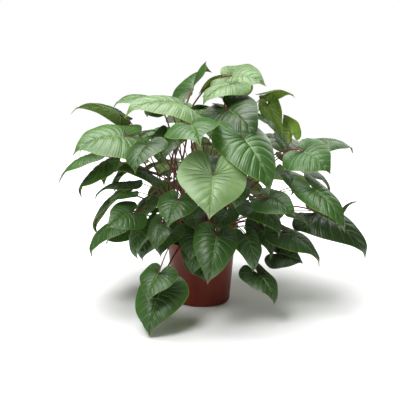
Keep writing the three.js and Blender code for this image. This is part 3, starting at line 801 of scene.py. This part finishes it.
def leafPiece(leaf, number):
    # blade and stalk in one mesh: upper side, under side and stalk each have their own finish
    blade = bladePoints(leaf, number)
    stalk, stalkFaces, stalkUv = stalkTube(leaf)
    used = np.zeros(len(blade), bool)
    used[np.concatenate([np.array(face) for face in bladeFaceList])] = True
    renamed = np.cumsum(used) - 1
    faces = [[int(renamed[v]) for v in face] for face in bladeFaceList]
    start = int(used.sum())
    faces += [[v + start for v in face] for face in stalkFaces]
    r = np.broadcast_to(planR, planP.shape).ravel()[bladeUvIds]
    s = np.broadcast_to(planS, planP.shape).ravel()[bladeUvIds]
    uv = np.concatenate([np.stack([s, r], axis=1), stalkUv])
    slots = bladeSlots + [2] * len(stalkFaces)
    # painted light and shade: leaves near the top and the front one are painted paler, as if lit, than those
    # that hang in the shade, which are painted darker
    lift = np.clip((leaf["seat"][2] - soilTop) / 0.45, 0, 1)
    paintedLightShare = 0.08 + 0.5 * lift + 0.14 * math.sin(number * 1.37)
    redness = leaf["red"] if leaf["red"] is not None else 0.12 + 0.3 * abs(math.sin(number * 0.83))
    tint = np.concatenate([np.full(start, leaf.get("paintedLight", paintedLightShare)), np.full(len(stalk), redness)])
    points = np.concatenate([blade[used], stalk])
    return meshPiece(leaf["name"], points, faces, [topFinish, underFinish, stalkFinish], slots, uv, tint)


leaves = []
for number, (name, row) in enumerate({**leafPlan, **backRows()}.items()):
    leaf = drawnLeaf(row)
    leaf["node"] = "leaf_" + name
    leaf["name"] = "blade_and_stalk_" + name
    miss = settleAsPacked(leaf)
    if max(miss) > 0.0006:
        print("unsure place", leaf["node"], miss)
    piece = leafPiece(leaf, number)
    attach(piece, "root")
    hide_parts(leaf["node"])
    leaves.append(leaf)
print(len(leaves), "leaves grown")


# ---- small leaves inside the plant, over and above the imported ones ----

innerPlan = [
    {"seat": (-220, -120, 318), "tip": (-304, -150, 299), "wide": 0.8},
    {"seat": (-214, -150, 189), "tip": (-261, -180, 163)},
    {"seat": (-150, -120, 173), "tip": (-160, -160, 120)},
    {"seat": (-38, -180, 145), "tip": (-27, -220, 105)},
    {"seat": (-30, -190, 101), "tip": (-44, -225, 28)},
    {"seat": (-24, -200, 62), "tip": (-38, -230, -12)},
    {"seat": (-19, -170, 3), "tip": (10, -200, -51), "wide": 0.8},
    {"seat": (58, -200, 144), "tip": (35, -240, 93)},
    {"seat": (-90, -120, 347), "tip": (-104, -160, 266)},
    {"seat": (262, -130, 261), "tip": (274, -160, 202)},
    {"seat": (267, -130, 137), "tip": (309, -150, 106), "wide": 0.7},
    {"seat": (232, -60, 333), "tip": (233, -90, 278)},
    {"seat": (178, -60, 409), "tip": (214, -90, 363)},
    {"seat": (430, 20, 103), "tip": (490, 20, 137), "wide": 0.6},
    {"seat": (308, -160, 200), "tip": (297, -190, 159), "wide": 0.8},
]

fillLook = {
    "tries": 2200, "most": 70, "seed": 5, "cell": 0.0075,
    "reach": (0.05, 0.24), "height": (0.03, 0.41), "length": (0.06, 0.11), "droop": (15, 78),
}


class Room:
    # which small cubes of space round the plant are taken
    def __init__(self, cell):
        self.cell = cell
        self.low = np.floor((np.array(cadBox[0]) - 0.06) / cell) * cell
        self.taken = np.zeros(np.ceil((np.array(cadBox[1]) + 0.06 - self.low) / cell).astype(int) + 2, bool)

    def cubes(self, points):
        ids = ((points - self.low) / self.cell).astype(int)
        return tuple(np.clip(ids, 1, np.array(self.taken.shape) - 2).T)

    def take(self, points, spread):
        # the points' cubes, and with spread those beside them along each axis
        x, y, z = self.cubes(points)
        self.taken[x, y, z] = True
        if spread:
            for axis in range(3):
                for step in (-1, 1):
                    beside = [x, y, z]
                    beside[axis] = beside[axis] + step
                    self.taken[tuple(beside)] = True

    def share(self, points):
        return self.taken[self.cubes(points)].mean()


bladeRoom, stalkRoom = Room(fillLook["cell"]), Room(fillLook["cell"])


def bladeSpots(leaf):
    # a blade's middle surface as a cloud of points a few millimetres apart
    return onBlade(planP, planQ, bladeHeight(planP, planQ, leaf), leaf).reshape(-1, 3)


def stalkSpots(leaf, first):
    # points along a stalk from a share of its length on
    path, knots = stalkCurve(leaf, leaf["bow"])
    return path[knots >= first]


def freeRoots():
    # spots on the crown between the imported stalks, on a fine square grid
    gridStep, rootRoom, edgeRoom = 0.0024, 0.0066, 0.003
    line = np.arange(-crownRadius, crownRadius, gridStep)
    x, y = np.meshgrid(line, line)
    spots = np.stack([x.ravel(), y.ravel()], axis=1)
    used = np.array([leaf["root"][:2] for leaf in leaves])
    gaps = np.linalg.norm(spots[:, None] - used[None], axis=2).min(axis=1)
    return spots[(gaps > rootRoom) & (np.linalg.norm(spots, axis=1) < crownRadius - edgeRoom)]


def rootInner(leaf, spots):
    # the free spot nearest to the line the stalk would follow
    lean = math.acos(unit(leaf["seat"] - crownCentre)[2])
    wish = unit(leaf["seat"][:2]) * crownRadius * min(lean / 1.5, 0.95)
    spot = spots[np.argmin(np.linalg.norm(spots - wish, axis=1))]
    leaf["rootWay"] = unit(np.array([*spot, math.sqrt(crownSphere**2 - spot @ spot)]))
    leaf["root"] = crownCentre + leaf["rootWay"] * (crownSphere + 0.0004)
    return spot


def crowding(leaf):
    # how much of the leaf lies where others are
    return (bladeRoom.share(bladeSpots(leaf)) + stalkRoom.share(bladeSpots(leaf))
            + bladeRoom.share(stalkSpots(leaf, 0.45)))


def fillRows():
    # seeded places inside the plant, each blade hanging outwards
    look = fillLook
    draw = np.random.default_rng(look["seed"])
    for _ in range(look["tries"]):
        angle = draw.uniform(-math.pi, math.pi)
        reach = draw.uniform(*look["reach"])
        height = draw.uniform(*look["height"])
        length = draw.uniform(*look["length"])
        drop = math.radians(draw.uniform(*look["droop"]))
        yaw = angle + draw.normal() * 0.5
        seat = np.array([reach * math.cos(angle), reach * math.sin(angle), height]) / mm
        way = np.array([math.cos(yaw) * math.cos(drop), math.sin(yaw) * math.cos(drop), -math.sin(drop)])
        # painted shade: leaves inside the plant get a low share of painted light, so they are painted darker
        yield {"seat": seat, "tip": seat + way * length / mm, "wide": draw.uniform(0.8, 1.1),
               "paintedLight": draw.uniform(0.0, 0.45)}


def growInner():
    for leaf in leaves:
        bladeRoom.take(bladeSpots(leaf), True)
        stalkRoom.take(stalkSpots(leaf, 0), False)
    spots = freeRoots()
    nudges = np.array(np.meshgrid([-1, 0, 1], [-1, 0, 1], [-1, 0, 1])).reshape(3, -1).T * 0.012
    nudges = nudges[np.argsort(np.abs(nudges).sum(axis=1), kind="stable")]
    grown = []
    for count, row in enumerate([*innerPlan, *fillRows()]):
        byHand = count < len(innerPlan)
        best = None
        for nudge in nudges if byHand else nudges[:1]:
            # painted shade: the listed inner leaves are painted dark as well
            leaf = drawnLeaf({"paintedLight": 0.2, **row})
            leaf["seat"] = leaf["seat"] + nudge
            leaf["tip"] = leaf["tip"] + nudge
            spot = rootInner(leaf, spots)
            crowd = crowding(leaf)
            if best is None or crowd < best[0]:
                best = (crowd, leaf, spot)
            if crowd == 0:
                break
        if best[0] > 0 and not byHand:
            continue
        crowd, leaf, spot = best
        leaf["name"] = f"inner_leaf_{len(grown) + 1}"
        spots = spots[np.linalg.norm(spots - spot, axis=1) > 0.0052]
        bladeRoom.take(bladeSpots(leaf), True)
        stalkRoom.take(stalkSpots(leaf, 0), False)
        grown.append(leaf)
        if len(grown) == len(innerPlan) + fillLook["most"] or not len(spots):
            break
    return grown


inner = growInner()
for number, leaf in enumerate(inner):
    piece = leafPiece(leaf, 60 + number)
    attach(piece, "root")
print(len(inner), "inner leaves grown")


# ---- pot ----

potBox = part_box("pot")
potLook = {"steps": 160, "base": 0.088, "wallTop": 0.103, "band": 0.022, "step": 0.0045, "wall": 0.0022,
           "floor": 0.003, "corner": 0.008, "holes": 6, "holeRadius": 0.006}


def arc(centre, radius, start, end, count):
    # points on a circle from one angle to another, in degrees
    angle = np.radians(np.linspace(start, end, count))
    return np.stack([centre[0] + radius * np.cos(angle), centre[1] + radius * np.sin(angle)], axis=1)


def lathe(profile, steps):
    # a closed profile of radius and height turned about +Z; its first and last points lie on the axis
    inner = profile[1:-1]
    angle = np.linspace(0, 2 * math.pi, steps, endpoint=False)
    ring = np.stack([np.cos(angle), np.sin(angle)], axis=1)
    heights = np.broadcast_to(inner[:, None, 1:], (len(inner), steps, 1))
    rings = np.concatenate([inner[:, None, :1] * ring[None], heights], axis=2)
    points = np.concatenate([rings.reshape(-1, 3), [[0, 0, profile[0, 1]], [0, 0, profile[-1, 1]]]])
    return points, tubeFaces(len(inner), steps)


def potPiece():
    # base disc, rounded corner, straight tapered wall, rounded rim band, and back down inside
    look = potLook
    top = potBox[1].z
    bandFoot = top - look["band"]
    bandRadius = look["wallTop"] + look["step"]
    lip = look["wall"] / 2
    share = look["corner"] / bandFoot
    cornerRadius = look["base"] + (look["wallTop"] - look["base"]) * share
    wallHeights = np.linspace(look["corner"], bandFoot, 14)[:, None]
    wallRadii = look["base"] + (look["wallTop"] - look["base"]) * wallHeights / bandFoot
    wall = np.concatenate([wallRadii, wallHeights], axis=1)
    base = np.array([[0, 0.0016], [0.03, 0.0016], [cornerRadius - look["corner"] - 0.004, 0.0016]])
    corner = arc((cornerRadius - look["corner"], look["corner"]), look["corner"], -90, -4, 9)
    shoulder = np.array([[look["wallTop"] + look["step"] * 0.55, bandFoot + 0.0006]])
    shoulder = np.concatenate([shoulder, arc((bandRadius - 0.0016, bandFoot + 0.0022), 0.0016, -80, 0, 5)])
    rim = arc((bandRadius + lip * 0.4, top - lip), lip, 0, 180, 9)
    inside = np.array([
        [bandRadius - look["wall"], bandFoot + look["step"]],
        [look["wallTop"] - look["wall"], bandFoot + 0.001],
        [cornerRadius - look["wall"], look["corner"]],
        [cornerRadius - look["corner"], look["floor"]],
        [0.03, look["floor"]],
        [0, look["floor"]],
    ])
    points, faces = lathe(np.concatenate([base, corner, wall, shoulder, rim, inside]), look["steps"])
    piece = meshPiece("grow_pot", points, faces, [mouldedPlastic()], sharpAt=35)
    for i in range(look["holes"]):
        angle = i * 2 * math.pi / look["holes"]
        place = (math.cos(angle) * look["base"] * 0.68, math.sin(angle) * look["base"] * 0.68, 0.002)
        bpy.ops.mesh.primitive_cylinder_add(vertices=32, radius=look["holeRadius"], depth=0.012,
                                            location=place)
        drill = bpy.context.object
        cut = piece.modifiers.new("hole", "BOOLEAN")
        cut.object = drill
        cut.solver = "EXACT"
        bpy.context.view_layer.objects.active = piece
        bpy.ops.object.modifier_apply(modifier=cut.name)
        bpy.data.objects.remove(drill)
    return piece


pot = potPiece()
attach(pot, "root")
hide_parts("pot")
print("pot turned")


# ---- soil, rhizomes and bark ----

soilLook = {"rings": 64, "steps": 200, "lumps": 0.0022, "crumbs": 0.0012, "chips": 150}


def soilPiece():
    # a plug under a crumbly disc: two sizes of seeded lumps over the flat soil, fading at the wall
    low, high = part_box("soil")
    radius = high.x
    r = np.linspace(radius, 0.004, soilLook["rings"])
    flat = np.stack([r, np.full_like(r, high.z - 0.002)], axis=1)
    taper = (potLook["wallTop"] - potLook["base"]) / (potBox[1].z - potLook["band"])
    foot = radius - taper * (high.z - low.z)
    under = np.array([[0, low.z], [foot - 0.008, low.z], [foot - 0.0008, low.z + 0.007]])
    points, faces = lathe(np.concatenate([under, flat, [[0, high.z - 0.002]]]), soilLook["steps"])
    onTop = points[:, 2] > high.z - 0.003
    lumps = soilLook["lumps"] * noiseField(points, 0.03, 3)
    lumps = lumps + soilLook["crumbs"] * noiseField(points, 0.009, 4)
    fade = smoothStep(radius, radius - 0.006, np.hypot(points[:, 0], points[:, 1]))
    points[:, 2] += np.where(onTop, lumps * fade, 0)
    return meshPiece("potting_soil", points, faces, [earthFinish("pottingSoil")], sharpAt=80)


def rhizomePiece():
    # the crown's cap with a knuckle at each stalk's foot and ringed scars between them
    r = np.linspace(0, 1, 70)[1:]
    angle = np.arcsin(np.clip(crownRadius * r[::-1] / crownSphere, 0, 1))
    cap = np.stack([crownSphere * np.sin(angle), crownCentre[2] + crownSphere * np.cos(angle)], axis=1)
    foot = soilTop - 0.004
    profile = np.concatenate([[[0, foot], [crownRadius, foot]], cap, [[0, crownCentre[2] + crownSphere]]])
    points, faces = lathe(profile, 200)
    roots = np.array([leaf["root"] for leaf in leaves + inner])
    gaps = np.linalg.norm(points[:, None, :2] - roots[None, :, :2], axis=2)
    knuckles = 0.004 * np.exp(-((gaps / 0.0065) ** 2)).max(axis=1) + 0.0008 * noiseField(points, 0.012, 8)
    fade = smoothStep(crownRadius * 1.02, crownRadius * 0.9, np.hypot(points[:, 0], points[:, 1]))
    points += unit(points - crownCentre) * np.where(points[:, 2] > foot + 0.001, knuckles * fade, 0)[:, None]
    return meshPiece("rhizome_crown", points, faces, [earthFinish("rhizomeSkin")], sharpAt=80)


def chipPieces():
    # flat bark chips: a dented six-sided slab, copied with seeded turns over the open ring of soil
    count = soilLook["chips"]
    draw = np.random.default_rng(21)
    radius = np.sqrt(draw.uniform((crownRadius + 0.004) ** 2, 0.096**2, count))
    around = draw.uniform(0, 2 * math.pi, count)
    height = np.full(count, soilTop + 0.0004)
    centres = np.stack([radius * np.cos(around), radius * np.sin(around), height], axis=1)
    ring = np.linspace(0, 2 * math.pi, 6, endpoint=False)
    slab = np.concatenate([np.stack([np.cos(ring), np.sin(ring), np.full(6, z)], axis=1) * [grow, grow, 1]
                           for z, grow in ((-0.5, 0.8), (0.1, 1.0), (0.5, 0.75))])
    sizes = np.stack([draw.uniform(0.003, 0.006, count), draw.uniform(0.0015, 0.0035, count),
                      draw.uniform(0.0014, 0.003, count)], axis=1)
    shapes = slab[None] * sizes[:, None] * draw.uniform(0.8, 1.2, (count, len(slab), 1))
    turn, tilt = draw.uniform(0, 2 * math.pi, count), draw.uniform(-0.35, 0.35, count)
    cosT, sinT = np.cos(turn)[:, None], np.sin(turn)[:, None]
    x = shapes[..., 0] * cosT - shapes[..., 1] * sinT
    y = shapes[..., 0] * sinT + shapes[..., 1] * cosT
    z = shapes[..., 2] + shapes[..., 0] * np.sin(tilt)[:, None]
    points = (np.stack([x, y, z], axis=-1) + centres[:, None]).reshape(-1, 3)
    j = np.arange(6)
    walls = [np.stack([j + a, (j + 1) % 6 + a, (j + 1) % 6 + a + 6, j + a + 6], axis=1) for a in (0, 6)]
    first = (np.arange(count) * len(slab))[:, None]
    sides = (np.concatenate(walls)[None] + first[..., None]).reshape(-1, 4).tolist()
    tops = (np.arange(12, 18)[None] + first).tolist()
    bottoms = (np.arange(5, -1, -1)[None] + first).tolist()
    return meshPiece("bark_chips", points, sides + tops + bottoms, [earthFinish("barkChip")], sharpAt=30)


soil = soilPiece()
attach(soil, "root")
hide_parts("soil")
rhizomes = rhizomePiece()
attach(rhizomes, "root")
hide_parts("crown")
chips = chipPieces()
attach(chips, "root")
print("pot filled")


# ---- studio ----

# How strong the world, the three lamps and the floor's own glow are.
studio = {"world": 0.08, "key": 78, "fill": 58, "back": 20, "glow": 0.9}


def softLamp(name, place, aim, size, power):
    # a square lamp at place that looks at aim
    data = bpy.data.lights.new(name, "AREA")
    data.shape = "SQUARE"
    data.size = size
    data.energy = power
    lamp = addObject(name, data)
    lamp.location = place
    way = np.array(aim, float) - np.array(place, float)
    flat = math.hypot(way[0], way[1])
    lamp.rotation_euler = (math.atan2(flat, -way[2]), 0, math.atan2(-way[0], way[1]))


def setStudio():
    data = bpy.data.meshes.new("floor")
    reach = 6.0
    corners = [(-reach, -reach, 0), (reach, -reach, 0), (reach, reach, 0), (-reach, reach, 0)]
    data.from_pydata(corners, [], [(0, 1, 2, 3)])
    data.materials.append(studioFloor())
    floor = addObject("floor", data)
    floor.location.z = -0.0005
    world = bpy.data.worlds.new("studio")
    bpy.context.scene.world = world
    world.use_nodes = True
    tree = world.node_tree
    path = tree.nodes.new("ShaderNodeLightPath")
    seen = path.outputs["Is Camera Ray"]
    strength = mathNode(tree, "MULTIPLY_ADD", seen, 1 - studio["world"], studio["world"])
    tree.nodes["Background"].inputs["Color"].default_value = (1, 1, 1, 1)
    tree.links.new(strength, tree.nodes["Background"].inputs["Strength"])
    softLamp("overhead", (-0.3, 0.15, 2.5), (0, 0, 0.4), 2.0, studio["key"])
    softLamp("front", (-0.9, -1.7, 2.3), (0, 0, 0.4), 1.1, studio["fill"])
    softLamp("rear", (1.2, 1.8, 1.6), (0, 0, 0.4), 1.4, studio["back"])
    bpy.context.scene.view_settings.view_transform = "Standard"


setStudio()
print("studio lit")
